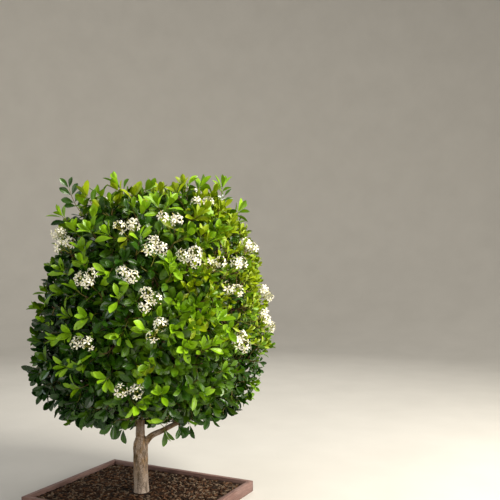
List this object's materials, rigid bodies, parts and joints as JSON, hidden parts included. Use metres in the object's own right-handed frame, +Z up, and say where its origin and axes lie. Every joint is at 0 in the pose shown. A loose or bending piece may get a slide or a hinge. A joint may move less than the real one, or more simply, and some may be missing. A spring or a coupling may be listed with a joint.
{
  "type": "potted waxleaf privet",
  "caption": "Globe-shaped privet shrub with glossy leaves and white blossom on a short forked trunk, standing in a low rectangular wooden planter filled with soil.",
  "frame": {"origin": "centre of the planter's flat underside", "axes": "+Z up; +X along the planter's long side, which faces the viewer; +Y away from the viewer"},
  "size_m": [1.2081, 1.2318, 1.6299],
  "materials": {
    "planter_wood": "matte",
    "soil": "matte",
    "bark": "matte",
    "foliage": "satin"
  },
  "bodies": {
    "root": {"planter": "planter_wood", "soil": "soil", "trunk": "bark", "bough_leader": "bark", "bough_low_1": "bark", "bough_low_2": "bark", "bough_low_3": "bark", "bough_low_4": "bark", "bough_low_5": "bark", "bough_middle_1": "bark", "bough_middle_2": "bark", "bough_middle_3": "bark", "bough_middle_4": "bark", "bough_middle_5": "bark", "bough_middle_6": "bark", "bough_upper_1": "bark", "bough_upper_2": "bark", "bough_upper_3": "bark", "bough_upper_4": "bark", "bough_upper_5": "bark", "foliage_low_1": "foliage", "foliage_low_2": "foliage", "foliage_low_3": "foliage", "foliage_low_4": "foliage", "foliage_low_5": "foliage", "foliage_middle_1": "foliage", "foliage_middle_2": "foliage", "foliage_middle_3": "foliage", "foliage_middle_4": "foliage", "foliage_middle_5": "foliage", "foliage_middle_6": "foliage", "foliage_upper_1": "foliage", "foliage_upper_2": "foliage", "foliage_upper_3": "foliage", "foliage_upper_4": "foliage", "foliage_upper_5": "foliage", "foliage_top": "foliage"}
  },
  "joints": []
}
